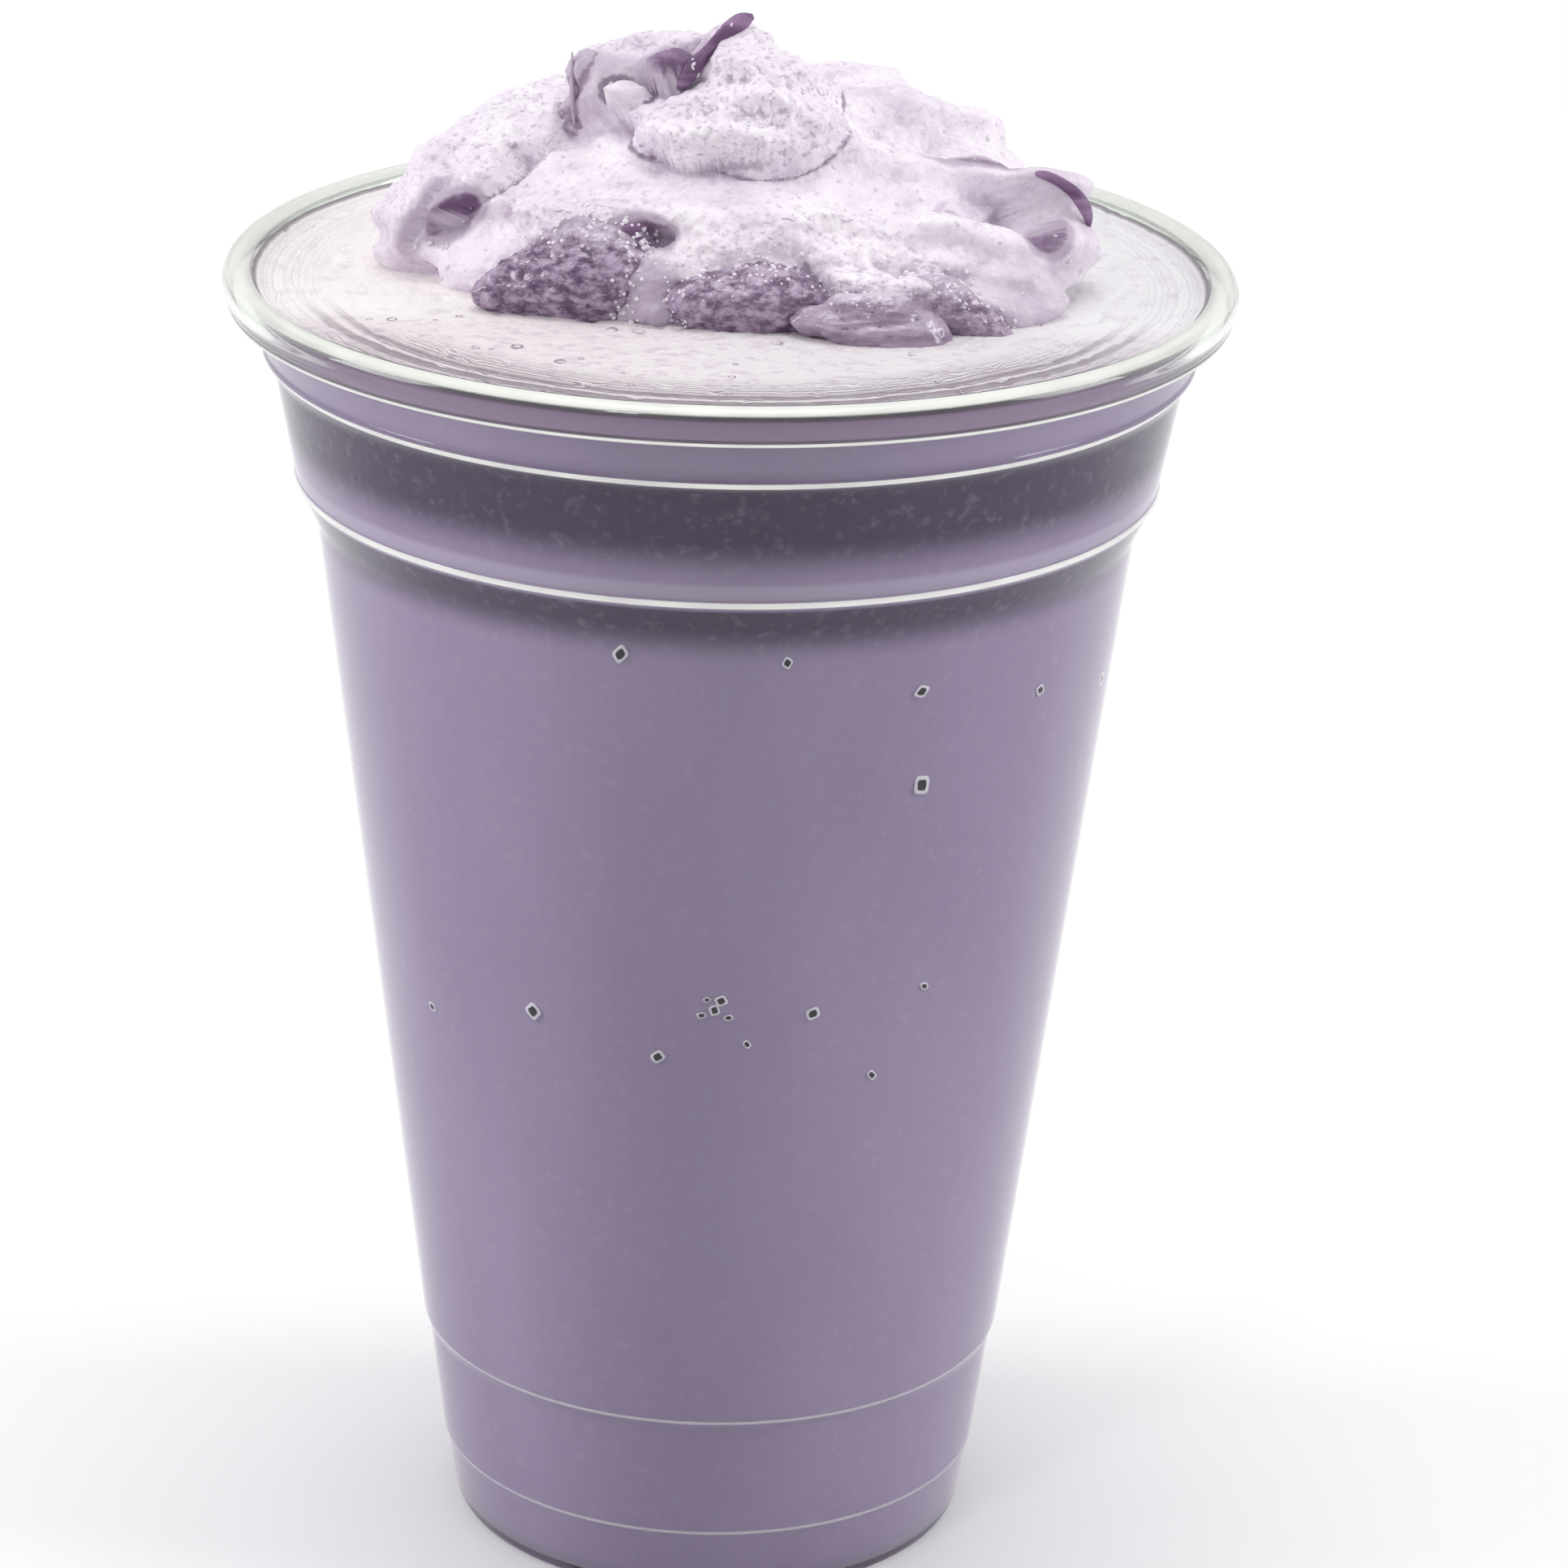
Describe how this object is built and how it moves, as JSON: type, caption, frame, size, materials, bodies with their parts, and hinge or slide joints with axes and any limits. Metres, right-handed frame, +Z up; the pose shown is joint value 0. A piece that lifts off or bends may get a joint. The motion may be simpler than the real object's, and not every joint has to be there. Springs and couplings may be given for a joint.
{
  "type": "taro bubble tea",
  "caption": "Taro drink in a clear plastic cup with a rolled rim and stacking rings, filled to the brim, with pale foam and a craggy heap of taro slush that rises above the rim.",
  "frame": {"origin": "centre of the cup's foot, on the table", "axes": "+Z up along the cup's axis; -Y is the side with the glossy lumps, which faces the viewer; +X is to the viewer's right"},
  "size_m": [0.098, 0.098, 0.1561],
  "materials": {
    "clear_plastic": "clear, smooth and glossy",
    "taro_milk": "opaque milky drink, dull purple",
    "pale_foam": "soft pale foam with fine bubbles",
    "taro_slush": "granular pale lavender slush",
    "wet_taro": "wet and glossy, dark purple"
  },
  "bodies": {
    "root": {"cup": "clear_plastic", "taro_drink": "taro_milk", "milk_foam": "pale_foam", "slush_heap": "taro_slush", "wet_lump_left": "wet_taro", "wet_lump_middle": "wet_taro", "wet_lump_right": "wet_taro", "wet_lump_corner": "wet_taro"}
  },
  "joints": []
}
